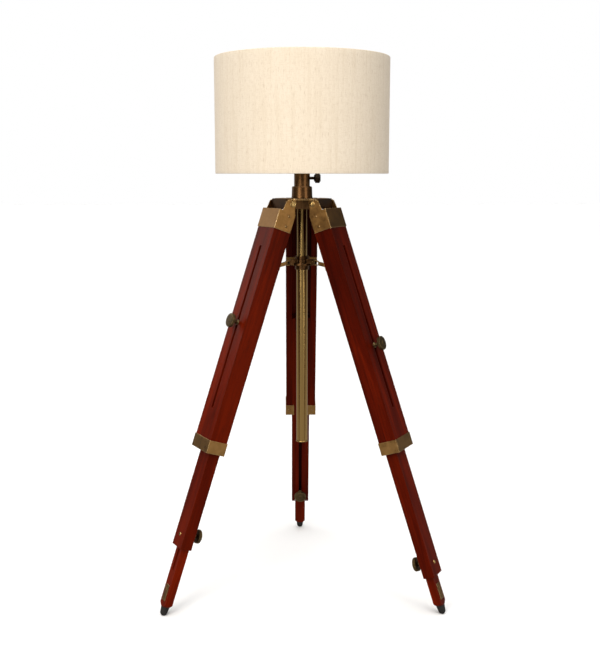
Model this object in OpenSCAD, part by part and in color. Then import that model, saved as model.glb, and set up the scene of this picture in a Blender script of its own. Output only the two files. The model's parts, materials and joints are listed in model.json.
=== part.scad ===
// Tripod floor lamp: three wooden telescoping legs on a bronze hub, a brass column and a drum shade.
// Frame: origin on the floor under the column axis, +Z up, the open side between two legs towards -Y.
// Each leg has its own frame at its hinge bolt: v outwards from the leg, t across it, s down along it.

/* [Legs] */
// Angle between each leg and the vertical, fully spread
leg_tilt = 19.5; // [16:0.1:22]
// Length of the upper stage of each leg
upper_length = 583; // [486:1:700]
// Distance from the end of the upper stage to the end of the foot
foot_reach = 397; // [380:1:440]
// How far each middle stage stands out of its upper stage: left, right, rear
mid_out = [232, 303, 296]; // [220:1:312]
// Width of the upper stage
leg_w = 77.5; // [71:0.5:93]
// Depth of the upper stage
leg_d = 44; // [42:0.5:53]
// Thickness of the upper stage's two side walls
wall = 15; // [12:0.5:15.5]
// Thickness of the brass sheet
sheet = 1.5; // [1:0.1:2]

/* [Hub and column] */
// Distance of each hinge bolt from the column axis
pivot_r = 49; // [46:1:56]
// Height of the hub casting
hub_h = 24; // [22:1:26]
// Outer radius of the upper column tube
tube_r = 12.25; // [11:0.25:13]
// Height of the column's lower end above the floor
column_end = 364; // [320:1:420]
// Distance of the spreader brackets below the hinge bolts, along the leg
bracket_s = 146; // [138:1:165]

/* [Shade] */
// Diameter of the drum shade
shade_d = 406.4; // [339:0.1:488]
// Height of the drum shade
shade_h = 262; // [218:1:315]
// Height of the shade's lower edge above the hinge bolts
shade_rise = 70; // [66:1:80]

/* [Fittings] */
// Diameter of the clamp knobs
knob_d = 33; // [28:1:38]
// Diameter of the thumbscrew's head
thumb_d = 23; // [20:1:26]
// Radius of the rubber tip's round end
tip_r = 8.5; // [7:0.5:9]

/* [Hidden] */
$fn = 64;
LEGS = ["left", "right", "rear"];
AZIMUTH = [210, 330, 90];
cap_s = 20;
cap_h = 46;
ferrule_h = 30;
ferrule_tab = 21;
slot_w = 9;
gap = 0.4;
board = 15;
leg_v = 5.4;
outer_v = leg_v + leg_d / 2;
inner_v = outer_v - leg_d;
side_t = leg_w / 2;
upper_end = cap_s + upper_length;
slot_top = 109;
slot_end = upper_end - 99;
// Middle stage: a smaller channel inside the upper one
mid_w = leg_w - 2 * wall - 2 * gap;
mid_outer = outer_v - board - 0.5;
mid_inner = inner_v + 0.5;
mid_wall = 9;
mid_board = 8;
mid_length = upper_length + 7;
stud_drop = [52, 37, 37];
bolt_rise = 30;
stud_r = 3;
stud_head_r = 8;
bolt_head_r = 4.4;
knob_neck = 14;
knob_bore = 15;
// Lower stage: a slotted board inside the middle channel
low_w = mid_w - 2 * mid_wall - 2 * gap;
low_outer = mid_outer - mid_board - 0.3;
low_inner = mid_inner + 0.3;
low_v = (low_outer + low_inner) / 2;
low_slot_w = 8.4;
low_slot_from_tip = 108;
low_top_over_bolt = 540;
bolt_from_tip_min = low_slot_from_tip + low_slot_w / 2;
low_length = bolt_from_tip_min + low_top_over_bolt;
low_slot_end = low_length - 130;
wood_from_tip = 22;
leg_length = upper_end + foot_reach;
tip_flat = 0.8;
pivot_z = (leg_length - tip_r) * cos(leg_tilt) - low_v * sin(leg_tilt) + tip_r - tip_flat;
// Hub
hub_top = pivot_z + hub_h / 2;
hub_bottom = pivot_z - hub_h / 2;
arm_t = side_t - gap;
arm_r = pivot_r + 13;
hub_wall = 4;
plate_h = 4;
hinge_r = 4;
tab_top = 11;
// Column
tube_wall = 1.25;
rod_r = tube_r - tube_wall - 0.3;
lower_tube_r = tube_r + 1.25;
// Spreader
lug_t = 3.2;
lug_w = 2.5;
lug_r = 7;
pin_r = 2;
pin_v = inner_v - sheet - 6.5;
collar_pin_r = tube_r + 17.75;
link_slope = 10;
link_out_r = pivot_r + bracket_s * sin(leg_tilt) + pin_v * cos(leg_tilt);
link_out_z = pivot_z - bracket_s * cos(leg_tilt) + pin_v * sin(leg_tilt);
link_length = (link_out_r - collar_pin_r) / cos(link_slope);
collar_pin_z = link_out_z + link_length * sin(link_slope);
collar_z = collar_pin_z - 18;
collar_h = 32;
collar_r = tube_r + 4.55;
flange_r = tube_r + 14.75;
link_way_r = tube_r + 3.35;
collar_rise = 44;
// Neck
neck_collar_r = rod_r + 13.8;
neck_collar_h = 28;
neck_r = rod_r + 7.9;
neck_seat_r = rod_r + 3.3;
seat_h = 18;
neck_z = hub_top + neck_collar_h;
neck_top = neck_z + 56;
thumb_z = hub_top + 47;
thumb_stem_r = 3.5;
// Lampholder, bulb and shade
holder_z = neck_top + 4;
holder_r = 19.7;
shell_z = holder_z + 16;
shell_h = 38;
ring_z = shell_z + 11;
core_h = 16;
bulb_z = shell_z + core_h + 4;
bulb_cap_r = 13;
bulb_r = 30;
shade_z = pivot_z + shade_rise;
shade_r = shade_d / 2;
cover_t = 0.8;
liner_t = 0.5;
wire_r = 1.8;
ring_big_r = shade_r - cover_t - liner_t - wire_r - 0.05;

head_nodes = ["hub_casting", "hub_plate", "hinge_bolts", "neck_collar", "neck_stub", "column_upper",
    "column_lower", "column_bush", "thumbscrew", "spreader_collar"];
lamp_nodes = ["lamp_rod", "holder_cap", "holder_shell", "holder_core", "holder_ring_nut", "bulb_cap",
    "bulb_glass", "shade_frame", "shade_top_ring", "shade_liner", "shade_cover"];
leg_nodes = ["upper_stage", "hinge_cap", "ferrule", "leg_screws", "spreader_bracket", "spreader_link",
    "middle_stage", "clamp_bolts", "upper_knob", "lower_knob", "lower_stage", "foot_plate", "rubber_tip"];

// ---- frames and small shapes ----
module on_leg(i) {
    rotate([0, 0, AZIMUTH[i]])
        translate([pivot_r, 0, pivot_z])
            rotate([0, -leg_tilt, 0]) children();
}

// A box from its limits in the leg's frame
module bar(v0, v1, t0, t1, s0, s1) {
    translate([v0, t0, -s1]) cube([v1 - v0, t1 - t0, s1 - s0]);
}

// A cylinder along v, from v0 outwards
module rod_v(v0, v1, t, s, r) {
    translate([v0, t, -s]) rotate([0, 90, 0]) cylinder(h = v1 - v0, r = r);
}

// A cylinder along t
module rod_t(v, t0, t1, s, r) {
    translate([v, t0, -s]) rotate([-90, 0, 0]) cylinder(h = t1 - t0, r = r);
}

module tube(r_out, r_in, z0, z1) {
    difference() {
        translate([0, 0, z0]) cylinder(h = z1 - z0, r = r_out);
        translate([0, 0, z0 - 1]) cylinder(h = z1 - z0 + 2, r = r_in);
    }
}

// A slot with round ends, cut along v through a board
module slot_v(v0, v1, s0, s1, w) {
    bar(v0, v1, -w / 2, w / 2, s0 + w / 2, s1 - w / 2);
    rod_v(v0, v1, 0, s0 + w / 2, w / 2);
    rod_v(v0, v1, 0, s1 - w / 2, w / 2);
}

// A knurled disc standing on z = 0
module knurled(r, h, teeth) {
    linear_extrude(height = h)
        polygon([for (k = [0 : 2 * teeth - 1])
            let (a = 180 * k / teeth, q = r - 0.8 * (k % 2)) [q * cos(a), q * sin(a)]]);
}

// A clamp knob along +Z: flared foot, slim neck, knurled disc, raised cap and a blind bore
module clamp_knob() {
    neck_r = stud_r + 1.5;
    difference() {
        union() {
            cylinder(h = 3, r1 = neck_r + 2.5, r2 = neck_r);
            cylinder(h = knob_neck, r = neck_r);
            translate([0, 0, knob_neck - 2]) cylinder(h = 2, r1 = neck_r, r2 = neck_r + 2.5);
            translate([0, 0, knob_neck]) cylinder(h = 1.2, r1 = knob_d / 2 - 3.5, r2 = knob_d / 2 - 1.5);
            translate([0, 0, knob_neck + 1.2]) knurled(knob_d / 2, 7, 32);
            translate([0, 0, knob_neck + 8.2]) cylinder(h = 1.2, r1 = knob_d / 2 - 1.5, r2 = knob_d / 2 - 3.5);
            translate([0, 0, knob_neck + 9.4]) cylinder(h = 1, r1 = 6.4, r2 = 5.4);
        }
        translate([0, 0, -1]) cylinder(h = knob_bore + 1, r = stud_r + 0.06);
    }
}

// A slotted dome-headed screw whose head rests on z = 0 and whose shank points down
module screw(head_r, shank) {
    difference() {
        rotate_extrude() polygon(concat([[0, -shank], [1.6, -shank], [1.6, 0], [head_r, 0]],
            [for (a = [15 : 15 : 90]) [head_r * cos(a), 1.3 * sin(a)]]));
        translate([-head_r, -0.4, 0.7]) cube([2 * head_r, 0.8, 2]);
    }
}

module screw_hole(depth) {
    translate([0, 0, -depth]) cylinder(h = depth + 1, r = 1.6);
}

// ---- where a leg's fastenings are ----
module on_cap_screws(i) {
    for (side = [-1, 1], s = [cap_s + 10, cap_s + 34])
        on_leg(i) translate([0, side * (side_t + sheet), -s]) rotate([-90 * side, 0, 0]) children();
}

module on_tab_screws(i) {
    for (side = [-1, 1])
        on_leg(i) translate([inner_v - sheet, side * (side_t - wall / 2), -upper_end + ferrule_h / 2])
            rotate([0, -90, 0]) children();
}

module on_bracket_screws(i) {
    for (side = [-1, 1])
        on_leg(i) translate([inner_v - sheet, side * (side_t - wall / 2), -bracket_s])
            rotate([0, -90, 0]) children();
}

// ---- hub ----
// An arm r long and 2 w wide with rounded outer corners
module arm_outline(r, w) {
    corner = 8;
    polygon(concat([[0, -w], [r - corner, -w]],
        [for (a = [-75 : 15 : -15]) [r - corner + corner * cos(a), -w + corner + corner * sin(a)]],
        [[r, -w + corner], [r, w - corner]],
        [for (a = [15 : 15 : 75]) [r - corner + corner * cos(a), w - corner + corner * sin(a)]],
        [[r - corner, w], [0, w]]));
}

module hub_casting() {
    color([0.27, 0.18, 0.11]) difference() {
        union() {
            for (a = AZIMUTH) rotate([0, 0, a])
                translate([0, 0, hub_bottom]) linear_extrude(height = hub_h) arm_outline(arm_r, arm_t);
        }
        // the seat of the top plate
        for (a = AZIMUTH) rotate([0, 0, a])
            translate([-1, -arm_t - 1, hub_top - plate_h]) cube([arm_r - 3, 2 * arm_t + 2, plate_h + 1]);
        // the hollow under each arm
        for (a = AZIMUTH) rotate([0, 0, a])
            translate([26, -arm_t + hub_wall, hub_bottom - 1])
                cube([arm_r - hub_wall - 26, 2 * (arm_t - hub_wall), hub_h - plate_h - 3]);
        translate([0, 0, hub_bottom - 1]) cylinder(h = hub_h + 2, r = tube_r);
        for (i = [0 : 2]) rotate([0, 0, AZIMUTH[i]])
            translate([pivot_r, -arm_t - 1, pivot_z]) rotate([-90, 0, 0])
                cylinder(h = 2 * arm_t + 2, r = hinge_r);
    }
}

module hub_plate() {
    web_r = arm_r * 0.5 + arm_t * 0.866;
    color([0.5, 0.38, 0.2]) difference() {
        translate([0, 0, hub_top - plate_h]) intersection() {
            rotate([0, 0, 30]) cylinder(h = plate_h, r = web_r / cos(30), $fn = 6);
            union() for (a = AZIMUTH) {
                rotate([0, 0, a]) translate([0, -arm_t, 0]) cube([arm_r - 4.3, 2 * arm_t, plate_h]);
                rotate([0, 0, a + 60]) translate([0, -web_r, 0]) cube([web_r, 2 * web_r, plate_h]);
            }
        }
        // each arm's raised end and the ways of its two hinge plates
        for (a = AZIMUTH) rotate([0, 0, a]) {
            translate([arm_r - 4.2, -arm_t - 4, hub_top - plate_h - 1]) cube([40, 2 * arm_t + 8, plate_h + 2]);
            for (side = [-1, 1])
                translate([35, side * (side_t + sheet / 2) - 1.6, hub_top - plate_h - 1])
                    cube([60, 3.2, plate_h + 2]);
        }
        translate([0, 0, hub_top - plate_h - 1]) cylinder(h = plate_h + 2, r = tube_r);
    }
}

module hinge_bolts() {
    seat_t = side_t + sheet + 0.2;
    color([0.72, 0.55, 0.27]) for (a = AZIMUTH) rotate([0, 0, a]) translate([pivot_r, 0, pivot_z]) {
        rotate([90, 0, 0]) rotate_extrude() polygon(concat(
            [[0, -seat_t - 5], [hinge_r, -seat_t - 5], [hinge_r, seat_t], [6.8, seat_t], [6.8, seat_t + 1.6],
                [5.6, seat_t + 1.8]],
            [for (b = [20 : 10 : 90]) [5.6 * cos(b), seat_t + 1.8 + 4.4 * sin(b)]]));
        translate([0, seat_t, 0]) rotate([-90, 0, 0]) difference() {
            union() {
                cylinder(h = 1.6, r = 6.8);
                translate([0, 0, 1.6]) cylinder(h = 4.2, r = 6.4, $fn = 6);
            }
            translate([0, 0, -1]) cylinder(h = 9, r = hinge_r + 0.05);
        }
    }
}

// ---- neck and column ----
module neck_collar() {
    color([0.42, 0.27, 0.13]) difference() {
        translate([0, 0, hub_top]) rotate_extrude() polygon([[0, 0], [neck_collar_r + 0.4, 0],
            [neck_collar_r + 0.4, 3], [neck_collar_r, 4.2], [neck_collar_r - 0.8, neck_collar_h - 2.2],
            [neck_collar_r - 2.4, neck_collar_h], [0, neck_collar_h]]);
        translate([0, 0, hub_top - 1]) cylinder(h = seat_h + 1, r = tube_r);
        translate([0, 0, hub_top + seat_h]) cylinder(h = neck_collar_h, r = neck_seat_r);
    }
}

module neck_stub() {
    color([0.27, 0.18, 0.11]) difference() {
        rotate_extrude() polygon([[0, hub_top + seat_h], [neck_seat_r, hub_top + seat_h], [neck_seat_r, neck_z], [neck_r, neck_z],
            [neck_r, neck_top - 2], [neck_r - 1.5, neck_top], [0, neck_top]]);
        translate([0, 0, hub_top]) cylinder(h = 120, r = rod_r + 0.06);
        translate([0, 0, thumb_z]) rotate([0, 90, 0]) cylinder(h = 30, r = thumb_stem_r + 0.08);
    }
}

module thumbscrew() {
    head_x = neck_r + 9.5;
    color([0.14, 0.1, 0.08]) translate([0, 0, thumb_z]) rotate([0, 90, 0]) {
        translate([0, 0, rod_r + 0.3]) cylinder(h = head_x - rod_r, r = thumb_stem_r);
        translate([0, 0, head_x]) cylinder(h = 3, r1 = 6.5, r2 = thumb_d / 2 - 1.5);
        translate([0, 0, head_x + 3]) knurled(thumb_d / 2, 10, 28);
        translate([0, 0, head_x + 13]) cylinder(h = 2.5, r1 = thumb_d / 2 - 1.2, r2 = thumb_d / 2 - 4);
    }
}

module column_upper() {
    color([0.62, 0.5, 0.28]) tube(tube_r, tube_r - tube_wall, collar_z - 40, hub_top + seat_h);
}

module column_lower() {
    color([0.62, 0.5, 0.28]) tube(lower_tube_r, tube_r, column_end + 3, collar_z - 0.3);
}

module column_bush() {
    color([0.62, 0.5, 0.28]) difference() {
        union() {
            translate([0, 0, column_end]) rotate_extrude() polygon(concat([[0, 0], [lower_tube_r - 0.5, 0]],
                [for (a = [-60 : 20 : 60]) [lower_tube_r + 1.3 * cos(a), 1.5 + 1.5 * sin(a)]],
                [[lower_tube_r - 0.5, 3], [0, 3]]));
            translate([0, 0, column_end + 3]) cylinder(h = 11, r = tube_r);
        }
        translate([0, 0, column_end - 1]) cylinder(h = 20, r = 4);
    }
}

// ---- spreader ----
module spreader_collar() {
    color([0.5, 0.38, 0.2]) difference() {
        union() {
            translate([0, 0, collar_z]) cylinder(h = collar_h, r = collar_r);
            translate([0, 0, collar_z + 10]) cylinder(h = 5, r = flange_r);
            for (a = AZIMUTH) rotate([0, 0, a]) {
                for (side = [-1, 1])
                    translate([tube_r + 1.75, side * (lug_t + lug_w / 2) - lug_w / 2, collar_pin_z - lug_r])
                        cube([collar_pin_r - tube_r - 1.75, lug_w, 2 * lug_r]);
                for (side = [-1, 1])
                    translate([collar_pin_r, side * (lug_t + lug_w / 2) - lug_w / 2, collar_pin_z])
                        rotate([-90, 0, 0]) cylinder(h = lug_w, r = lug_r);
                translate([collar_pin_r, -lug_t - lug_w - 1.5, collar_pin_z]) rotate([-90, 0, 0])
                    cylinder(h = 2 * (lug_t + lug_w + 1.5), r = pin_r);
            }
        }
        translate([0, 0, collar_z - 1]) cylinder(h = collar_h + 2, r = tube_r + 0.06);
        // the way of each link between its two lugs
        for (a = AZIMUTH) rotate([0, 0, a]) difference() {
            translate([link_way_r, -lug_t, collar_pin_z - 8]) cube([30, 2 * lug_t, 40]);
            translate([collar_pin_r, -10, collar_pin_z]) rotate([-90, 0, 0]) cylinder(h = 20, r = pin_r);
        }
    }
}

// In the plane of its leg: pinned at the bracket, slotted at the collar
module spreader_link(i) {
    half_t = lug_t - 0.4;
    slot = 12.5;
    head_r = 6;
    color([0.5, 0.38, 0.2]) rotate([0, 0, AZIMUTH[i]]) translate([link_out_r, 0, link_out_z])
        rotate([0, link_slope, 0]) difference() {
            union() {
                translate([-link_length, -half_t, -4.4]) cube([link_length, 2 * half_t, 8.8]);
                rotate([90, 0, 0]) translate([0, 0, -half_t]) cylinder(h = 2 * half_t, r = 4.6);
                translate([-link_length, 0, 0]) rotate([90, 0, 0]) translate([0, 0, -half_t])
                    cylinder(h = 2 * half_t, r = head_r);
                translate([-link_length, -half_t, -head_r]) cube([slot - 2, 2 * half_t, 2 * head_r]);
                translate([-link_length + slot - 2, 0, 0]) rotate([90, 0, 0]) translate([0, 0, -half_t])
                    cylinder(h = 2 * half_t, r = head_r);
            }
            rotate([90, 0, 0]) translate([0, 0, -10]) cylinder(h = 20, r = pin_r + 0.08);
            translate([-link_length - 0.4, -10, -pin_r - 1.9]) cube([slot - 1, 20, 2 * pin_r + 3.8]);
            for (x = [-link_length - 0.4, -link_length + slot - 1.4])
                translate([x, 0, 0]) rotate([90, 0, 0]) translate([0, 0, -10])
                    cylinder(h = 20, r = pin_r + 1.9);
        }
}

module spreader_bracket(i) {
    color([0.5, 0.38, 0.2]) difference() {
        on_leg(i) {
            bar(inner_v - sheet, inner_v, -side_t + 1, side_t - 1, bracket_s - 10, bracket_s + 10);
            for (side = [-1, 1]) {
                bar(pin_v, inner_v - sheet, side * (lug_t + lug_w / 2) - lug_w / 2,
                    side * (lug_t + lug_w / 2) + lug_w / 2, bracket_s - 5, bracket_s + 5);
                rod_t(pin_v, side * (lug_t + lug_w / 2) - lug_w / 2, side * (lug_t + lug_w / 2) + lug_w / 2,
                    bracket_s, 5);
            }
            rod_t(pin_v, -lug_t - lug_w - 1.2, lug_t + lug_w + 1.2, bracket_s, pin_r);
        }
        on_bracket_screws(i) screw_hole(4);
    }
}

// ---- leg, upper stage ----
module upper_stage(i) {
    color([0.36, 0.09, 0.05]) difference() {
        on_leg(i) difference() {
            bar(inner_v, outer_v, -side_t, side_t, cap_s, upper_end);
            bar(inner_v - 1, outer_v - board, -side_t + wall, side_t - wall, cap_s - 1, upper_end + 1);
            slot_v(outer_v - board - 1, outer_v + 1, slot_top, slot_end, slot_w);
        }
        on_cap_screws(i) screw_hole(11);
        on_tab_screws(i) screw_hole(11);
        on_bracket_screws(i) screw_hole(11);
    }
}

// The plate on one side of the hinge: a wide part over the wood and a narrower tab up to the bolt
module hinge_side(t) {
    translate([0, t, 0]) rotate([90, 0, 0]) linear_extrude(height = sheet)
        polygon([[outer_v + sheet, -cap_s], [outer_v + sheet, -cap_s - cap_h], [inner_v + 0.5, -cap_s - cap_h],
            [inner_v + 0.5, -cap_s - 3], [-9.5, -7], [-8.5, 7], [-5, tab_top + 1], [13, tab_top - 5],
            [17, tab_top - 9], [20, -cap_s]]);
}

module hinge_cap(i) {
    color([0.5, 0.38, 0.2]) difference() {
        on_leg(i) difference() {
            union() {
                bar(outer_v, outer_v + sheet, -side_t - sheet, side_t + sheet, cap_s, cap_s + cap_h);
                hinge_side(side_t + sheet);
                hinge_side(-side_t);
            }
            rod_t(0, -side_t - 5, side_t + 5, 0, hinge_r + 0.06);
        }
        on_cap_screws(i) screw_hole(4);
    }
}

module ferrule(i) {
    top = upper_end - ferrule_h;
    color([0.62, 0.48, 0.3]) difference() {
        on_leg(i) difference() {
            bar(inner_v - sheet, outer_v + sheet, -side_t - sheet, side_t + sheet, top, upper_end);
            bar(inner_v, outer_v, -side_t, side_t, top - 1, upper_end + 1);
            bar(inner_v - 5, inner_v + 1, -side_t + ferrule_tab, side_t - ferrule_tab, top - 1, upper_end + 1);
        }
        on_tab_screws(i) screw_hole(4);
    }
}

module leg_screws(i) {
    color([0.72, 0.55, 0.27]) {
        on_cap_screws(i) screw(3.2, 10);
        on_tab_screws(i) screw(3.2, 10);
        on_bracket_screws(i) screw(3.2, 10);
    }
}

// ---- leg, middle stage ----
function mid_bottom(i) = upper_end + mid_out[i];
function stud_s(i) = mid_bottom(i) - mid_length + stud_drop[i];
function bolt_s(i) = mid_bottom(i) - bolt_rise;

module middle_stage(i) {
    color([0.36, 0.09, 0.05]) on_leg(i) difference() {
        bar(mid_inner, mid_outer, -mid_w / 2, mid_w / 2, mid_bottom(i) - mid_length, mid_bottom(i));
        bar(mid_inner - 1, mid_outer - mid_board, -mid_w / 2 + mid_wall, mid_w / 2 - mid_wall,
            mid_bottom(i) - mid_length - 1, mid_bottom(i) + 1);
        rod_v(mid_outer - mid_board - 1, mid_outer + 1, 0, stud_s(i), stud_r);
        rod_v(mid_outer - mid_board - 1, mid_outer - mid_board + 3, 0, stud_s(i), stud_head_r);
        rod_v(mid_outer - mid_board - 1, mid_outer + 1, 0, bolt_s(i), stud_r);
    }
}

// The upper clamp bolt, its flat head let into the middle board, and the lower one with a domed head
module clamp_bolts(i) {
    head_v = mid_outer - mid_board;
    color([0.5, 0.38, 0.2]) on_leg(i) {
        rod_v(head_v, head_v + 3, 0, stud_s(i), stud_head_r);
        rod_v(head_v + 3, outer_v + 14, 0, stud_s(i), stud_r);
        rod_v(low_inner - 14, mid_outer, 0, bolt_s(i), stud_r);
        translate([mid_outer, 0, -bolt_s(i)]) rotate([0, 90, 0]) rotate_extrude()
            polygon(concat([[0, 0], [bolt_head_r, 0]],
                [for (a = [15 : 15 : 90]) [bolt_head_r * cos(a), 2.2 * sin(a)]]));
    }
}

module upper_knob(i) {
    color([0.4, 0.31, 0.18]) on_leg(i) translate([outer_v + 0.3, 0, -stud_s(i)]) rotate([0, 90, 0])
        clamp_knob();
}

module lower_knob(i) {
    color([0.4, 0.31, 0.18]) on_leg(i) translate([low_inner - 0.3, 0, -bolt_s(i)]) rotate([0, -90, 0])
        clamp_knob();
}

// ---- leg, lower stage ----
module lower_stage(i) {
    wood_end = leg_length - wood_from_tip;
    color([0.36, 0.09, 0.05]) on_leg(i) difference() {
        intersection() {
            bar(low_inner, low_outer, -low_w / 2, low_w / 2, leg_length - low_length, wood_end);
            translate([low_v, 0, -wood_end]) cylinder(h = low_length, r1 = 11, r2 = 11 + low_length * 0.9);
        }
        slot_v(low_inner - 1, low_outer + 1, leg_length - low_slot_end, leg_length - low_slot_from_tip,
            low_slot_w);
        translate([low_v, 0, -wood_end - 1]) cylinder(h = 13, r = 4);
        rod_v(low_outer - 9, low_outer + 1, 0, leg_length - 64, 1.6);
    }
}

module foot_plate(i) {
    color([0.5, 0.38, 0.2]) on_leg(i) {
        bar(low_outer, low_outer + 1.2, -8, 8, leg_length - 74, leg_length - 36);
        rod_v(low_outer - 9, low_outer, 0, leg_length - 64, 1.6);
        translate([low_outer + 1.2, 0, -leg_length + 64]) rotate([0, 90, 0])
            cylinder(h = 1.1, r1 = 3.2, r2 = 2.2);
    }
}

// A rubber tip with a stem in the wood and a small flat where it stands
module rubber_tip(i) {
    color([0.12, 0.11, 0.11]) intersection() {
        on_leg(i) translate([low_v, 0, -leg_length]) {
            translate([0, 0, tip_r]) sphere(r = tip_r);
            translate([0, 0, tip_r]) cylinder(h = wood_from_tip - tip_r, r1 = tip_r, r2 = 10.2);
            translate([0, 0, wood_from_tip]) cylinder(h = 11, r = 4);
        }
        translate([-1000, -1000, 0]) cube([2000, 2000, 400]);
    }
}

// ---- lampholder and bulb ----
// Its lower end stays above the spreader collar when the folded legs have raised that
module lamp_rod() {
    color([0.62, 0.5, 0.28]) tube(rod_r, rod_r - 1.5, collar_z + collar_h + collar_rise, holder_z + 8);
}

module holder_cap() {
    color([0.5, 0.38, 0.2]) difference() {
        translate([0, 0, holder_z]) rotate_extrude() polygon([[0, 0], [rod_r + 2.3, 0], [rod_r + 3.8, 3],
            [holder_r - 1.5, 12], [holder_r, 16], [0, 16]]);
        translate([0, 0, holder_z - 1]) cylinder(h = 9, r = rod_r);
        translate([0, 0, holder_z + 8]) cylinder(h = 9, r = rod_r - 1.5);
    }
}

module holder_shell() {
    color([0.08, 0.08, 0.08]) difference() {
        union() {
            translate([0, 0, shell_z]) cylinder(h = shell_h, r = holder_r);
            translate([0, 0, ring_z - 3]) cylinder(h = 3, r = holder_r + 4);
        }
        translate([0, 0, shell_z - 1]) cylinder(h = shell_h + 2, r = holder_r - 2);
    }
}

module holder_core() {
    color([0.9, 0.88, 0.82]) difference() {
        union() {
            translate([0, 0, shell_z]) cylinder(h = core_h, r = holder_r - 2);
            translate([0, 0, shell_z + core_h]) cylinder(h = 3.7, r = 5);
        }
        for (x = [-9, 9]) translate([x, 0, shell_z - 1]) cylinder(h = core_h + 2, r = 2);
    }
}

module holder_ring_nut() {
    color([0.08, 0.08, 0.08]) translate([0, 0, ring_z + 3.6]) difference() {
        union() {
            cylinder(h = 2, r = holder_r + 7);
            translate([0, 0, 2]) knurled(holder_r + 5, 6, 40);
        }
        translate([0, 0, -1]) cylinder(h = 10, r = holder_r);
    }
}

module bulb_cap() {
    color([0.75, 0.75, 0.77]) difference() {
        translate([0, 0, bulb_z]) rotate_extrude() polygon(concat([[0, 0], [5, 0], [8, 3], [bulb_cap_r - 0.6, 5]],
            [for (k = [0 : 11]) [bulb_cap_r - 0.8 * (k % 2), 6 + 1.6 * k]],
            [[bulb_cap_r, 25], [0, 25]]));
        translate([0, 0, bulb_z + 8]) cylinder(h = 30, r = bulb_cap_r - 2);
    }
}

module bulb_glass() {
    neck_base = bulb_z + 25;
    centre = neck_base + 54;
    color([0.97, 0.96, 0.93, 0.6]) rotate_extrude() difference() {
        polygon(concat([[0, neck_base], [bulb_cap_r + 0.5, neck_base], [bulb_cap_r + 1, neck_base + 8],
            [bulb_cap_r + 4, neck_base + 20]],
            [for (a = [-42 : 6 : 90]) [bulb_r * cos(a), centre + bulb_r * sin(a)]]));
        polygon(concat([[0, neck_base - 1], [bulb_cap_r - 0.7, neck_base - 1], [bulb_cap_r - 0.2, neck_base + 8],
            [bulb_cap_r + 2.8, neck_base + 20]],
            [for (a = [-42 : 6 : 90]) [(bulb_r - 1.2) * cos(a), centre + (bulb_r - 1.2) * sin(a)]]));
    }
}

// ---- shade ----
module wire_ring(z) {
    translate([0, 0, z]) rotate_extrude($fn = 96) translate([ring_big_r, 0]) circle(r = wire_r, $fn = 24);
}

module shade_frame() {
    spoke_z = ring_z + 1.8;
    rim_z = shade_z + wire_r + 1.5;
    run = ring_big_r - 27;
    rise = spoke_z - rim_z;
    color([0.85, 0.83, 0.78]) {
        tube(30, holder_r + 0.08, ring_z + 0.3, ring_z + 3.3);
        wire_ring(rim_z);
        for (a = [30, 150, 270]) rotate([0, 0, a]) translate([ring_big_r, 0, rim_z])
            rotate([0, -90 + atan2(rise, run), 0]) cylinder(h = sqrt(run * run + rise * rise), r = wire_r);
    }
}

module shade_top_ring() {
    color([0.85, 0.83, 0.78]) wire_ring(shade_z + shade_h - wire_r - 1.5);
}

module shade_liner() {
    color([0.98, 0.95, 0.88])
        tube(shade_r - cover_t, shade_r - cover_t - liner_t, shade_z + 1, shade_z + shade_h - 1, $fn = 128);
}

module shade_cover() {
    color([0.93, 0.87, 0.75]) tube(shade_r, shade_r - cover_t, shade_z, shade_z + shade_h, $fn = 128);
}

hub_casting();
hub_plate();
hinge_bolts();
neck_collar();
neck_stub();
column_upper();
column_lower();
column_bush();
thumbscrew();
spreader_collar();
lamp_rod();
holder_cap();
holder_shell();
holder_core();
holder_ring_nut();
bulb_cap();
bulb_glass();
shade_frame();
shade_top_ring();
shade_liner();
shade_cover();
for (i = [0 : 2]) {
    upper_stage(i);
    hinge_cap(i);
    ferrule(i);
    leg_screws(i);
    spreader_bracket(i);
    spreader_link(i);
    middle_stage(i);
    clamp_bolts(i);
    upper_knob(i);
    lower_knob(i);
    lower_stage(i);
    foot_plate(i);
    rubber_tip(i);
}
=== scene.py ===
"""A tripod floor lamp: mahogany telescoping legs, antique brass fittings and a linen drum shade."""

import json
import math

import bmesh
import bpy
from mathutils import Matrix, Vector


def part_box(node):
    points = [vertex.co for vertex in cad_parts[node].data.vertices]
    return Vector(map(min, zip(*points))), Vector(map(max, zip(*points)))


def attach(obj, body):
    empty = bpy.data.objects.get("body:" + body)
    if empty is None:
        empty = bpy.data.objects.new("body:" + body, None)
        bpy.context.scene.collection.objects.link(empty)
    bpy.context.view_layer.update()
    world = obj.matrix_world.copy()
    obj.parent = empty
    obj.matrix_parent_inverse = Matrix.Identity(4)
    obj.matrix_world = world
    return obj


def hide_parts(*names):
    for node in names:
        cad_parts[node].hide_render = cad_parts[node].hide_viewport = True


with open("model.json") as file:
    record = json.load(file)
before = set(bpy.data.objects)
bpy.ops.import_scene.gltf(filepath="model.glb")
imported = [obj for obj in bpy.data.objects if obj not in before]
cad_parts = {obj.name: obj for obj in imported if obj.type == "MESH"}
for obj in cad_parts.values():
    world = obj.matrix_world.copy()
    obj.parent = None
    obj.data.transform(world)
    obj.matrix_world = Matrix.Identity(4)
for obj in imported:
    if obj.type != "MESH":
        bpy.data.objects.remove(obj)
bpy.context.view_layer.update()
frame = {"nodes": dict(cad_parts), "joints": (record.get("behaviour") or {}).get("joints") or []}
nodes = frame["nodes"]
joints = {j["name"]: j for j in frame["joints"]}

MM = 0.001
SIDES = ("left", "right", "rear")


# ---------------------------------------------------------------- camera, floor and light

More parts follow.
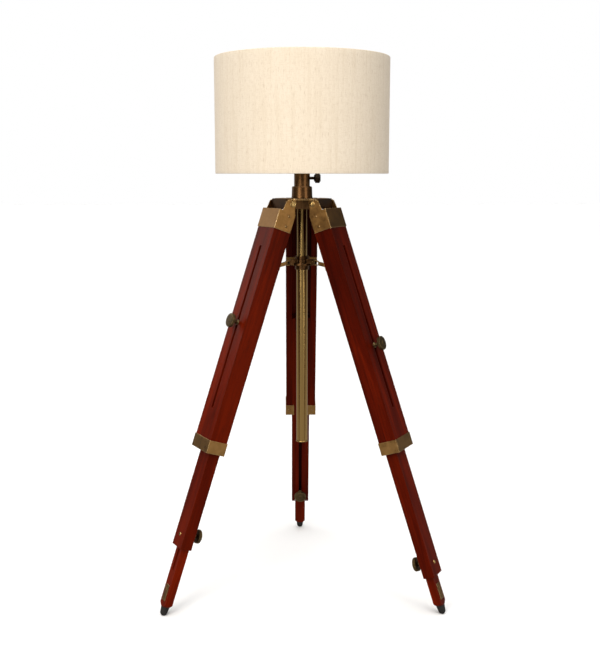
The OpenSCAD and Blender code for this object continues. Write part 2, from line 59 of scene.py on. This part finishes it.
CAMERA_DISTANCE = 2.272
CAMERA_HEIGHT = 1.014
CAMERA_PITCH = 9.33
CAMERA_ORBIT = -0.9
CAMERA_PAN = 0.12
FOCAL_LENGTH = 51.95
SENSOR_WIDTH = 36
NEAR_CLIP = 0.05

BACKDROP = 1.0                # what the camera sees behind the lamp
ROOM_ABOVE = 0.13             # what lights and shows in the lamp, above and below the horizon
ROOM_BELOW = 0.42
HORIZON = (-0.25, 0.05)       # the height of a direction over which the one turns into the other
WARM = (1.0, 0.95, 0.88)
FLOOR_REACH = 30
FLOOR_WHITE = 0.93
OVERHEAD = {"strength": 3.1, "spread": 80, "location": (0, 0, 4), "target": (0, 0.6, 0)}
# each soft box: where it stands, what it faces, its size in metres and its power in watts
SOFT_BOXES = {
    "key": ((-1.7, -2.9, 1.9), (0, 0, 0.85), (1.5, 2.0), 74),
    "fill": ((2.3, -2.4, 1.3), (0, 0, 0.7), (1.0, 2.0), 28),
    "side": ((-2.3, 1.7, 1.5), (0, 0, 0.95), (1.1, 1.0), 6.0),
}


def put(name, data, location=(0, 0, 0)):
    """A new object that holds data, in the scene."""
    obj = bpy.data.objects.new(name, data)
    bpy.context.scene.collection.objects.link(obj)
    obj.location = location
    return obj


def look_at(obj, target):
    obj.rotation_euler = (Vector(target) - obj.location).to_track_quat("-Z", "Y").to_euler()


def make_camera():
    data = bpy.data.cameras.new("camera")
    data.sensor_width = SENSOR_WIDTH
    data.lens = FOCAL_LENGTH
    data.clip_start = NEAR_CLIP
    orbit = math.radians(CAMERA_ORBIT)
    x, y = CAMERA_DISTANCE * math.sin(orbit), -CAMERA_DISTANCE * math.cos(orbit)
    cam = put("camera", data, (x, y, CAMERA_HEIGHT))
    turn = Matrix.Rotation(orbit + math.radians(CAMERA_PAN), 4, "Z")
    tilt = Matrix.Rotation(math.radians(90 - CAMERA_PITCH), 4, "X")
    cam.rotation_euler = (turn @ tilt).to_euler()
    bpy.context.scene.camera = cam


def soft_box(name, location, target, size, power):
    data = bpy.data.lights.new(name, "AREA")
    data.shape = "RECTANGLE"
    data.size, data.size_y = size
    data.energy = power
    data.color = WARM
    look_at(put(name, data, location), target)


def sun_light(name, strength, spread, location, target):
    data = bpy.data.lights.new(name, "SUN")
    data.energy = strength
    data.angle = math.radians(spread)
    look_at(put(name, data, location), target)


def make_world():
    """A white backdrop for the camera; for everything else a dim warm room, lighter below the horizon."""
    world = bpy.data.worlds.new("studio")
    bpy.context.scene.world = world
    world.use_nodes = True
    tree = world.node_tree
    seen = tree.nodes["Background"]
    seen.inputs["Color"].default_value = (1, 1, 1, 1)
    seen.inputs["Strength"].default_value = BACKDROP
    room = tree.nodes.new("ShaderNodeBackground")
    room.inputs["Color"].default_value = (*WARM, 1)
    direction = tree.nodes.new("ShaderNodeSeparateXYZ")
    tree.links.new(tree.nodes.new("ShaderNodeTexCoord").outputs["Generated"], direction.inputs[0])
    horizon = tree.nodes.new("ShaderNodeMapRange")
    for key, value in (("From Min", HORIZON[0]), ("From Max", HORIZON[1]),
                       ("To Min", ROOM_BELOW), ("To Max", ROOM_ABOVE)):
        horizon.inputs[key].default_value = value
    tree.links.new(direction.outputs["Z"], horizon.inputs["Value"])
    tree.links.new(horizon.outputs["Result"], room.inputs["Strength"])
    path = tree.nodes.new("ShaderNodeLightPath")
    either = tree.nodes.new("ShaderNodeMixShader")
    tree.links.new(path.outputs["Is Camera Ray"], either.inputs[0])
    tree.links.new(room.outputs[0], either.inputs[1])
    tree.links.new(seen.outputs[0], either.inputs[2])
    tree.links.new(either.outputs[0], tree.nodes["World Output"].inputs["Surface"])


def make_floor():
    """A pale matt floor that casts no light of its own back on the lamp."""
    corners = [(x * FLOOR_REACH, y * FLOOR_REACH, 0) for x, y in ((-1, -1), (1, -1), (1, 1), (-1, 1))]
    mesh = bpy.data.meshes.new("floor")
    mesh.from_pydata(corners, [], [(0, 1, 2, 3)])
    floor = put("floor", mesh)
    mat = bpy.data.materials.new("floor_paper")
    mat.use_nodes = True
    shader = mat.node_tree.nodes["Principled BSDF"]
    shader.inputs["Base Color"].default_value = (FLOOR_WHITE, FLOOR_WHITE, FLOOR_WHITE, 1)
    shader.inputs["Roughness"].default_value = 1.0
    shader.inputs["Specular IOR Level"].default_value = 0.0
    floor.data.materials.append(mat)
    floor.visible_diffuse = False
    floor.visible_glossy = False


def make_studio():
    make_world()
    make_floor()
    sun_light("overhead", **OVERHEAD)
    for name, values in SOFT_BOXES.items():
        soft_box(name, *values)
    bpy.context.scene.view_settings.view_transform = "Standard"


# ---------------------------------------------------------------- material helpers


class Nodes:
    """A short way to build a material's node tree."""

    def __init__(self, name):
        self.mat = bpy.data.materials.new(name)
        self.mat.use_nodes = True
        self.tree = self.mat.node_tree
        self.shader = self.tree.nodes["Principled BSDF"]

    def add(self, kind, **values):
        node = self.tree.nodes.new(kind)
        for key, value in values.items():
            if hasattr(node, key):
                setattr(node, key, value)
            else:
                node.inputs[key.replace("_", " ")].default_value = value
        return node

    def link(self, source, target):
        self.tree.links.new(source, target)

    def set(self, **values):
        for key, value in values.items():
            self.shader.inputs[key.replace("_", " ")].default_value = value

    def coords(self, rotation=(0, 0, 0), scale=(1, 1, 1), location=(0, 0, 0)):
        """Object coordinates, turned into a piece's own axes and then scaled."""
        source = self.add("ShaderNodeTexCoord").outputs["Object"]
        turn = self.add("ShaderNodeMapping", vector_type="TEXTURE")
        turn.inputs["Location"].default_value = location
        turn.inputs["Rotation"].default_value = rotation
        self.link(source, turn.inputs["Vector"])
        size = self.add("ShaderNodeMapping", vector_type="POINT")
        size.inputs["Scale"].default_value = scale
        self.link(turn.outputs["Vector"], size.inputs["Vector"])
        return size.outputs["Vector"]

    def noise(self, vector, detail, roughness, distortion=0.0):
        """Fractal noise; the vector carries the scale."""
        node = self.add("ShaderNodeTexNoise")
        node.inputs["Scale"].default_value = 1.0
        node.inputs["Detail"].default_value = detail
        node.inputs["Roughness"].default_value = roughness
        node.inputs["Distortion"].default_value = distortion
        self.link(vector, node.inputs["Vector"])
        return node.outputs["Fac"]

    def ramp(self, fac, *stops):
        node = self.add("ShaderNodeValToRGB")
        elements = node.color_ramp.elements
        while len(elements) < len(stops):
            elements.new(0.5)
        for element, (place, colour) in zip(elements, stops):
            element.position = place
            element.color = (*colour, 1)
        self.link(fac, node.inputs["Fac"])
        return node.outputs["Color"]

    def grey(self, fac, low, high, start=0.0, end=1.0):
        """fac from start..end mapped to low..high."""
        node = self.add("ShaderNodeMapRange")
        for key, value in (("From Min", start), ("From Max", end), ("To Min", low), ("To Max", high)):
            node.inputs[key].default_value = value
        self.link(fac, node.inputs["Value"])
        return node.outputs["Result"]

    def mix(self, fac, a, b):
        node = self.add("ShaderNodeMix", data_type="RGBA")
        colour_in = [s for s in node.inputs if s.type == "RGBA"]
        factor_in = [s for s in node.inputs if s.type == "VALUE"][0]
        for socket, value in ((factor_in, fac), (colour_in[0], a), (colour_in[1], b)):
            if isinstance(value, bpy.types.NodeSocket):
                self.link(value, socket)
            elif isinstance(value, (int, float)):
                socket.default_value = value
            else:
                socket.default_value = (*value, 1)
        return [s for s in node.outputs if s.type == "RGBA"][0]

    def math(self, operation, a, b=0.0):
        node = self.add("ShaderNodeMath", operation=operation)
        for socket, value in ((node.inputs[0], a), (node.inputs[1], b)):
            if isinstance(value, bpy.types.NodeSocket):
                self.link(value, socket)
            else:
                socket.default_value = value
        return node.outputs[0]

    def rounded(self, radius):
        """The normal as it would be with every edge rounded."""
        bevel = self.add("ShaderNodeBevel", samples=6)
        bevel.inputs["Radius"].default_value = radius
        return bevel.outputs["Normal"]

    def edge_mask(self, radius, low=0.02, high=0.25):
        """1 along convex and concave edges, from the difference between the rounded and true normals."""
        geometry = self.add("ShaderNodeNewGeometry")
        dot = self.add("ShaderNodeVectorMath", operation="DOT_PRODUCT")
        self.link(self.rounded(radius), dot.inputs[0])
        self.link(geometry.outputs["True Normal"], dot.inputs[1])
        return self.grey(self.math("SUBTRACT", 1.0, dot.outputs["Value"]), 0, 1, low, high)

    def bump(self, height, distance, strength=1.0, normal=None):
        node = self.add("ShaderNodeBump")
        node.inputs["Distance"].default_value = distance
        node.inputs["Strength"].default_value = strength
        self.link(height, node.inputs["Height"])
        if normal is not None:
            self.link(normal, node.inputs["Normal"])
        return node.outputs["Normal"]

    def out(self, **sockets):
        for key, value in sockets.items():
            self.link(value, self.shader.inputs[key.replace("_", " ")])
        return self.mat


# ---------------------------------------------------------------- wood


def leg_rotation(side):
    """Turns the row frame into the leg's own axes: X outwards, Y across, Z up along the leg."""
    along = -Vector(joints[f"{side}_middle_slide"]["axis"])
    across = Vector(joints[f"{side}_fold"]["axis"])
    out = across.cross(along)
    return Matrix((out, across, along)).transposed().to_euler()


# colours in linear light, before each stage's own tint
WOOD_DARK = (0.034, 0.0020, 0.0006)
WOOD_MID = (0.090, 0.0050, 0.0007)
WOOD_LIGHT = (0.185, 0.0125, 0.0012)
WOOD_PORE = (0.012, 0.003, 0.002)
# the edge colour is partly rubbed lacquer and partly a painted highlight along the arrises
WOOD_RUBBED_AND_HIGHLIGHT = (0.22, 0.034, 0.009)
LACQUER_TINT = (1.0, 0.5, 0.35, 1)


def mahogany(name, side, seed, tint):
    """Red mahogany: long figure, fine dark pores, and a lighter red along the edges, partly lacquer worn thin
    and partly a painted highlight on the arrises.
    """
    n = Nodes(name)
    rotation = leg_rotation(side)
    offset = (seed * 0.37, seed * 0.21, seed * 0.53)
    figure = n.noise(n.coords(rotation, (34, 34, 2.2), offset), 6, 0.6, 0.7)
    stripe = n.noise(n.coords(rotation, (150, 150, 3.5), offset), 4, 0.55, 0.2)
    pores = n.noise(n.coords(rotation, (1500, 1500, 42), offset), 2, 0.5)
    blotch = n.noise(n.coords(rotation, (9, 9, 3), offset), 2, 0.5)
    dark, mid, light = (tuple(c * tint for c in wood) for wood in (WOOD_DARK, WOOD_MID, WOOD_LIGHT))
    base = n.ramp(figure, (0.30, dark), (0.52, mid), (0.74, light))
    streak = n.mix(n.grey(stripe, 0.0, 0.55, 0.48, 0.70), base, dark)
    warm = n.mix(n.grey(blotch, 0.0, 0.35, 0.45, 0.7), streak, light)
    pore_mask = n.grey(pores, 1.0, 0.0, 0.30, 0.42)
    pored = n.mix(n.math("MULTIPLY", pore_mask, 0.55), warm, WOOD_PORE)
    # edges lightened: partly rubbed lacquer, partly a painted highlight on the arrises
    edge_wear_and_highlight = n.mix(n.math("MULTIPLY", n.edge_mask(0.0012), 0.35), pored, WOOD_RUBBED_AND_HIGHLIGHT)
    rough = n.grey(figure, 0.30, 0.42, 0.3, 0.7)
    normal = n.bump(pore_mask, 0.00006, 0.35, n.bump(stripe, 0.00010, 0.25))
    n.set(Coat_Weight=0.02, Coat_Roughness=0.25, IOR=1.45)
    n.set(Specular_IOR_Level=0.07, Specular_Tint=LACQUER_TINT)
    return n.out(Base_Color=edge_wear_and_highlight, Roughness=rough, Normal=normal)


# ---------------------------------------------------------------- metal

BRUSHING = (520, 520, 5)      # fine lines along the tube


def patina_brass(name, bright, dark, roughness, seed, amount, edge=(0.86, 0.66, 0.34), wear_and_highlight=0.6,
                 edge_radius=1.0 * MM, brushed=False, patches=(55, 55, 55), relief=1.0, hammer=0.2):
    """Aged brass: clouds from dark to bright, fine scratches, and edges lightened to the edge colour, partly
    rubbed brass and partly a painted highlight.

    amount is how softly the clouds blend, and patches how finely they are spread. A brushed piece has long
    lines in place of scratches. relief scales the whole bump, and hammer is the strength of its small dents.
    """
    n = Nodes(name)
    cloud = n.noise(n.coords(scale=patches, location=(seed, seed, seed)), 6, 0.62, 0.4)
    speck = n.noise(n.coords(scale=(900, 900, 900)), 3, 0.6)
    if brushed:
        lines = n.noise(n.coords(scale=BRUSHING), 4, 0.65)
    else:
        lines = n.noise(n.coords(scale=(260, 260, 260), location=(seed, 0, 0)), 5, 0.7)
    spread = 0.5 * amount
    base = n.ramp(cloud, (0.5 - spread * 0.45, dark), (0.5 + spread * 0.55, bright))
    fine = n.mix(n.grey(speck, 0.0, 0.45, 0.55, 0.8), base, dark)
    lined = n.mix(n.grey(lines, 0.0, 0.30, 0.45, 0.75), fine, bright)
    # the edge colour here is partly wear and partly a painted highlight along the edges
    edge_wear_and_highlight = n.math("MULTIPLY", n.edge_mask(edge_radius), wear_and_highlight)
    rubbed_and_highlit = n.mix(edge_wear_and_highlight, lined, edge)
    rough = n.math("ADD", n.grey(cloud, roughness - 0.07, roughness + 0.09, 0.3, 0.7),
                   n.grey(lines, -0.05, 0.05, 0.3, 0.7))
    rough = n.math("SUBTRACT", rough, n.math("MULTIPLY", edge_wear_and_highlight, 0.12))
    normal = n.bump(cloud, 0.0002 * relief, 0.25, n.rounded(edge_radius))
    normal = n.bump(lines, 0.00003 * relief, 0.5, n.bump(speck, 0.00005 * relief, hammer, normal))
    n.set(Metallic=1.0)
    return n.out(Base_Color=rubbed_and_highlit, Roughness=rough, Normal=normal)


# ---------------------------------------------------------------- other surfaces


def rubber():
    n = Nodes("rubber_black")
    grit = n.noise(n.coords(scale=(1400, 1400, 1400)), 3, 0.6)
    dust = n.noise(n.coords(scale=(90, 90, 90)), 4, 0.6)
    colour = n.ramp(dust, (0.35, (0.007, 0.006, 0.006)), (0.75, (0.024, 0.022, 0.020)))
    scuffed = n.mix(n.math("MULTIPLY", n.edge_mask(0.0012), 0.4), colour, (0.09, 0.085, 0.08))
    n.set(Specular_IOR_Level=0.35)
    return n.out(Base_Color=scuffed, Roughness=n.grey(dust, 0.6, 0.85, 0.3, 0.7),
                 Normal=n.bump(grit, 0.00008, 0.5))


def bakelite():
    n = Nodes("bakelite_black")
    swirl = n.noise(n.coords(scale=(120, 120, 120)), 4, 0.6, 0.8)
    colour = n.ramp(swirl, (0.3, (0.010, 0.009, 0.009)), (0.8, (0.030, 0.024, 0.020)))
    return n.out(Base_Color=colour, Roughness=n.grey(swirl, 0.18, 0.32, 0.3, 0.7),
                 Normal=n.bump(swirl, 0.00006, 0.3))


def porcelain():
    n = Nodes("porcelain_glaze")
    speck = n.noise(n.coords(scale=(500, 500, 500)), 3, 0.6)
    colour = n.ramp(speck, (0.3, (0.80, 0.78, 0.72)), (0.7, (0.86, 0.85, 0.80)))
    n.set(Coat_Weight=0.5, Coat_Roughness=0.1)
    return n.out(Base_Color=colour, Roughness=n.grey(speck, 0.2, 0.35, 0.3, 0.7),
                 Normal=n.bump(speck, 0.00005, 0.3))


def wire_paint():
    n = Nodes("wire_powder_coat")
    grain = n.noise(n.coords(scale=(1600, 1600, 1600)), 2, 0.5)
    cloud = n.noise(n.coords(scale=(40, 40, 40)), 3, 0.5)
    colour = n.ramp(cloud, (0.3, (0.78, 0.75, 0.68)), (0.7, (0.84, 0.82, 0.76)))
    return n.out(Base_Color=colour, Roughness=n.grey(grain, 0.38, 0.55, 0.3, 0.7),
                 Normal=n.bump(grain, 0.00006, 0.5))


def cap_metal():
    n = Nodes("bulb_cap_tin")
    scuff = n.noise(n.coords(scale=(300, 300, 40)), 4, 0.6)
    colour = n.ramp(scuff, (0.3, (0.55, 0.55, 0.56)), (0.7, (0.78, 0.78, 0.79)))
    n.set(Metallic=1.0)
    return n.out(Base_Color=colour, Roughness=n.grey(scuff, 0.22, 0.4, 0.3, 0.7),
                 Normal=n.bump(scuff, 0.00004, 0.4))


def frosted_glass():
    n = Nodes("glass_frosted")
    haze = n.noise(n.coords(scale=(700, 700, 700)), 3, 0.5)
    colour = n.ramp(haze, (0.3, (0.93, 0.92, 0.89)), (0.7, (0.98, 0.975, 0.955)))
    n.set(Transmission_Weight=0.55, IOR=1.45, Coat_Weight=0.3, Coat_Roughness=0.12)
    return n.out(Base_Color=colour, Roughness=n.grey(haze, 0.28, 0.4, 0.3, 0.7),
                 Normal=n.bump(haze, 0.00004, 0.3))


def shade_lining():
    """Matt cream styrene with the faintest orange-peel texture."""
    n = Nodes("lining_cream")
    peel = n.noise(n.coords(scale=(900, 900, 900)), 3, 0.5)
    cloud = n.noise(n.coords(scale=(12, 12, 12)), 3, 0.5)
    colour = n.ramp(cloud, (0.3, (0.80, 0.735, 0.615)), (0.7, (0.86, 0.80, 0.69)))
    return n.out(Base_Color=colour, Roughness=n.grey(peel, 0.5, 0.65, 0.3, 0.7),
                 Normal=n.bump(peel, 0.00005, 0.4))


def linen():
    """Plain weave linen from a UV map in metres, with slubs mostly along the height."""
    n = Nodes("linen_cream")
    uv = n.add("ShaderNodeUVMap", uv_map="cloth").outputs["UV"]

    def scaled(x, y):
        node = n.add("ShaderNodeMapping")
        node.inputs["Scale"].default_value = (x, y, 1)
        n.link(uv, node.inputs["Vector"])
        return node.outputs["Vector"]

    def threads(direction, per_metre):
        wave = n.add("ShaderNodeTexWave", wave_type="BANDS", bands_direction=direction, wave_profile="SIN")
        wave.inputs["Scale"].default_value = per_metre / 3.18
        wave.inputs["Distortion"].default_value = 1.2
        wave.inputs["Detail"].default_value = 2
        wave.inputs["Detail Scale"].default_value = 0.02
        n.link(uv, wave.inputs["Vector"])
        return wave.outputs["Fac"]

    warp = threads("X", 900)
    weft = threads("Y", 820)
    slub_up = n.noise(scaled(430, 60), 3, 0.6)
    slub_across = n.noise(scaled(70, 480), 3, 0.6)
    streak = n.noise(scaled(130, 5), 4, 0.6)
    cloud = n.noise(scaled(7, 9), 3, 0.5)
    mesh_up = n.noise(scaled(360, 110), 2, 0.5)
    mesh_across = n.noise(scaled(110, 360), 2, 0.5)
    base = n.ramp(cloud, (0.3, (0.88, 0.775, 0.632)), (0.7, (0.91, 0.81, 0.672)))
    base = n.mix(n.grey(mesh_up, 0.0, 0.20, 0.47, 0.66), base, (0.72, 0.60, 0.45))
    base = n.mix(n.grey(mesh_across, 0.0, 0.15, 0.47, 0.66), base, (0.74, 0.62, 0.47))
    streaked = n.mix(n.grey(streak, 0.0, 0.45, 0.46, 0.72), base, (0.76, 0.64, 0.48))
    up = n.mix(n.grey(slub_up, 0.0, 0.50, 0.57, 0.74), streaked, (0.52, 0.385, 0.25))
    across = n.mix(n.grey(slub_across, 0.0, 0.34, 0.56, 0.72), up, (0.66, 0.525, 0.37))
    gaps = n.math("MULTIPLY", n.grey(warp, 1, 0, 0, 0.5), n.grey(weft, 1, 0, 0, 0.5))
    woven = n.mix(n.math("MULTIPLY", gaps, 0.35), across, (0.50, 0.40, 0.26))
    height = n.math("ADD", n.math("MAXIMUM", warp, weft), n.math("MULTIPLY", slub_up, 0.8))
    n.set(Sheen_Weight=0.25, Sheen_Roughness=0.5, Specular_IOR_Level=0.2)
    return n.out(Base_Color=woven, Roughness=n.grey(streak, 0.82, 0.95, 0.3, 0.7),
                 Normal=n.bump(height, 0.00018, 0.7))


# ---------------------------------------------------------------- shade fabric


def sheet_mesh(name, points_at, columns, rows, thickness, uv_at):
    """A closed thin sheet: a grid of points, and the same grid set out by its thickness."""
    bm = bmesh.new()
    uv_layer = bm.loops.layers.uv.new("cloth")
    front, back = ([[bm.verts.new(points_at(i, j, depth)) for j in range(rows + 1)]
                    for i in range(columns + 1)] for depth in (0.0, thickness))

    def quad(corners, keys):
        face = bm.faces.new(corners)
        face.smooth = True
        for loop, (i, j) in zip(face.loops, keys):
            loop[uv_layer].uv = uv_at(i, j)

    def rim(start, end):
        (a, b), (c, d) = start, end
        quad([front[c][d], front[a][b], back[a][b], back[c][d]], (end, start, start, end))

    for i in range(columns):
        for j in range(rows):
            keys = ((i, j), (i + 1, j), (i + 1, j + 1), (i, j + 1))
            quad([front[a][b] for a, b in keys], keys)
            quad([back[a][b] for a, b in reversed(keys)], tuple(reversed(keys)))
    for i in range(columns):
        rim((i, 0), (i + 1, 0))
        rim((i + 1, rows), (i, rows))
    for j in range(rows):
        rim((0, j + 1), (0, j))
        rim((columns, j), (columns, j + 1))
    bmesh.ops.recalc_face_normals(bm, faces=bm.faces)
    mesh = bpy.data.meshes.new(name)
    bm.to_mesh(mesh)
    bm.free()
    return put(name, mesh)


CLOTH = 0.55 * MM             # the linen's thickness
LAP = 12 * MM                 # how far its ends overlap, glued
TURN_IN = 9 * MM              # how far each edge is folded in
SEAM_AT = math.radians(90)    # the lap is straight behind
LINING_WALL = 0.5 * MM
FOLD_GAP = 0.75 * MM          # from the lining's inner face to the folded strip
RIPPLE = 0.12 * MM
COLUMNS = 300
STRIP_ROWS, EDGE_ROWS, FACE_ROWS = 4, 8, 22


def cover_profile(low, high, radius):
    """The sheet from edge to edge as (r, z): turned-in strip, edge, face, edge, turned-in strip."""
    lining_low, lining_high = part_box("shade_liner")
    face_r = radius - CLOTH
    inside_r = (lining_high.x - lining_low.x) / 2 - LINING_WALL - FOLD_GAP
    edge = (face_r - inside_r) / 2
    centre_r = (face_r + inside_r) / 2

    def strip(z0, z1, r, count):
        return [(r, z0 + (z1 - z0) * k / count) for k in range(count)]

    def half_turn(z, sign):
        angles = [math.pi * k / EDGE_ROWS for k in range(EDGE_ROWS)]
        return [(centre_r + sign * edge * math.cos(a), z + sign * edge * math.sin(a)) for a in angles]

    return (strip(low.z + TURN_IN, low.z + edge, inside_r, STRIP_ROWS) + half_turn(low.z + edge, -1)
            + strip(low.z + edge, high.z - edge, face_r, FACE_ROWS) + half_turn(high.z - edge, 1)
            + strip(high.z - edge, high.z - TURN_IN, inside_r, STRIP_ROWS) + [(inside_r, high.z - TURN_IN)])


def make_shade_cover(material):
    """The linen: one sheet wrapped round the drum, overlapped at a glued seam behind, its edges turned in."""
    low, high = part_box("shade_cover")
    radius = (high.x - low.x) / 2
    profile = cover_profile(low, high, radius)
    rows = len(profile) - 1
    length = 2 * math.pi * radius + LAP
    lengths = [0.0]
    for (r0, z0), (r1, z1) in zip(profile, profile[1:]):
        lengths.append(lengths[-1] + math.hypot(r1 - r0, z1 - z0))
    lap = LAP / radius
    total = 2 * math.pi + lap

    def point(i, j, depth):
        angle = total * i / COLUMNS
        # the first stretch lies under the last, a cloth's thickness lower, and comes up just past the lap
        under = min(1.0, max(0.0, (lap - angle) / (lap * 0.25) + 1)) if angle < lap * 1.25 else 0.0
        r, z = profile[j]
        r_prev, z_prev = profile[max(0, j - 1)]
        r_next, z_next = profile[min(rows, j + 1)]
        tangent = Vector((r_next - r_prev, z_next - z_prev)).normalized()
        outward = Vector((tangent.y, -tangent.x))
        ripple = RIPPLE * math.sin(angle * 9 + 1.3) * math.sin(math.pi * j / rows)
        out = depth + ripple - under * CLOTH * 0.9
        r += outward.x * out
        z += outward.y * out
        return (r * math.cos(SEAM_AT + angle), r * math.sin(SEAM_AT + angle), z)

    def uv(i, j):
        return (length * i / COLUMNS, lengths[j])

    cover = sheet_mesh("shade_linen", point, COLUMNS, rows, CLOTH, uv)
    cover.data.materials.append(material)
    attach(cover, "shade")
    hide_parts("shade_cover")


# ---------------------------------------------------------------- dressing the CAD nodes


WELD_DISTANCE = 1e-6
FLAT_ANGLE = math.radians(0.5)      # faces within this of each other count as one plane
BEVEL_ANGLE = math.radians(40)
SPLIT_ANGLE = math.radians(32)
FLAT_WEIGHT = 80
# each wooden stage: the seed of its figure and its tint
STAGES = {"upper_stage": (1, 1.02), "middle_stage": (5, 0.98), "lower_stage": (9, 1.3)}


def dress(node, material, bevel=None, segments=2):
    """Gives a CAD node its material, and rounds and evens out its edges without moving its faces."""
    obj = nodes[node]
    obj.data.materials.clear()
    obj.data.materials.append(material)
    weld = obj.modifiers.new("weld", "WELD")
    weld.merge_threshold = WELD_DISTANCE
    if bevel:
        planes = obj.modifiers.new("planes", "DECIMATE")
        planes.decimate_type = "DISSOLVE"
        planes.angle_limit = FLAT_ANGLE
        cut = obj.modifiers.new("bevel", "BEVEL")
        cut.width = bevel
        cut.segments = segments
        cut.limit_method = "ANGLE"
        cut.angle_limit = BEVEL_ANGLE
        cut.use_clamp_overlap = True
        cut.harden_normals = False
    for polygon in obj.data.polygons:
        polygon.use_smooth = True
    smooth = obj.modifiers.new("edges", "EDGE_SPLIT")
    smooth.split_angle = SPLIT_ANGLE
    level = obj.modifiers.new("flats", "WEIGHTED_NORMAL")
    level.mode = "FACE_AREA"
    level.weight = FLAT_WEIGHT


def dress_all():
    # the antique brass's bright edge colour, its large amount and its wide radius paint highlight lines along
    # the caps' edges, on top of real rubbing
    antique = patina_brass("brass_antique", (0.36, 0.195, 0.064), (0.17, 0.085, 0.026), 0.36, 0, 1.1,
                           edge=(0.98, 0.76, 0.42), wear_and_highlight=0.9, edge_radius=2.0 * MM, hammer=0.6)
    ferrule = patina_brass("brass_ferrule", (0.50, 0.285, 0.10), (0.29, 0.155, 0.052), 0.34, 2, 1.1,
                           edge=(0.95, 0.72, 0.38), wear_and_highlight=0.8, edge_radius=1.8 * MM)
    tube = patina_brass("brass_tube", (0.58, 0.385, 0.140), (0.42, 0.265, 0.090), 0.20, 4, 1.2,
                        brushed=True, relief=0.0, patches=(160, 160, 2.5))
    bright = patina_brass("brass_bright", (0.66, 0.45, 0.17), (0.42, 0.27, 0.10), 0.24, 6, 0.6)
    knob = patina_brass("brass_knob", (0.17, 0.115, 0.05), (0.065, 0.042, 0.021), 0.42, 8, 0.8,
                        edge=(0.55, 0.42, 0.20), wear_and_highlight=0.7)
    # darkened to paint the shade under the hub plate, over the casting's own dark bronze
    casting_and_shade = patina_brass("bronze_casting_painted_shade", (0.11, 0.056, 0.022), (0.045, 0.023, 0.010), 0.40, 11, 0.9,
                           edge=(0.36, 0.24, 0.12), wear_and_highlight=0.5)
    brown = patina_brass("bronze_brown", (0.165, 0.082, 0.031), (0.080, 0.038, 0.015), 0.33, 12, 0.8,
                         edge=(0.5, 0.34, 0.16), wear_and_highlight=0.5)
    black = patina_brass("bronze_black", (0.045, 0.030, 0.020), (0.018, 0.012, 0.010), 0.38, 14, 0.9,
                         edge=(0.20, 0.14, 0.09), wear_and_highlight=0.4)
    foot = rubber()
    plastic = bakelite()
    wire = wire_paint()
    by_node = {
        "hub_casting": (casting_and_shade, 0.8 * MM), "hub_plate": (antique, 0.4 * MM), "hinge_bolts": (bright, None),
        "neck_collar": (brown, 0.4 * MM), "neck_stub": (brown, None), "thumbscrew": (black, 0.25 * MM),
        "column_upper": (tube, None), "column_lower": (tube, 0.4 * MM), "column_bush": (tube, None),
        "spreader_collar": (brown, 0.5 * MM), "lamp_rod": (tube, None), "holder_cap": (antique, 0.3 * MM),
        "holder_shell": (plastic, 0.4 * MM), "holder_core": (porcelain(), 0.3 * MM),
        "holder_ring_nut": (plastic, 0.25 * MM), "bulb_cap": (cap_metal(), None),
        "bulb_glass": (frosted_glass(), None), "shade_frame": (wire, None), "shade_top_ring": (wire, None),
        "shade_liner": (shade_lining(), None),
    }
    for node, (material, bevel) in by_node.items():
        dress(node, material, bevel)
    for k, side in enumerate(SIDES):
        for part, (seed, tint) in STAGES.items():
            wood = mahogany(f"mahogany_{side}_{part}", side, seed + 3 * k, tint)
            dress(f"{side}_{part}", wood, 1.0 * MM, 3)
        for part, material, bevel in (
            ("hinge_cap", antique, 0.7 * MM), ("ferrule", ferrule, 0.6 * MM), ("leg_screws", antique, None),
            ("spreader_bracket", antique, 0.3 * MM), ("spreader_link", antique, 0.5 * MM),
            ("clamp_bolts", bright, None), ("upper_knob", knob, 0.25 * MM), ("lower_knob", knob, 0.25 * MM),
            ("foot_plate", antique, 0.25 * MM), ("rubber_tip", foot, None),
        ):
            dress(f"{side}_{part}", material, bevel)


make_camera()
make_studio()
dress_all()
make_shade_cover(linen())
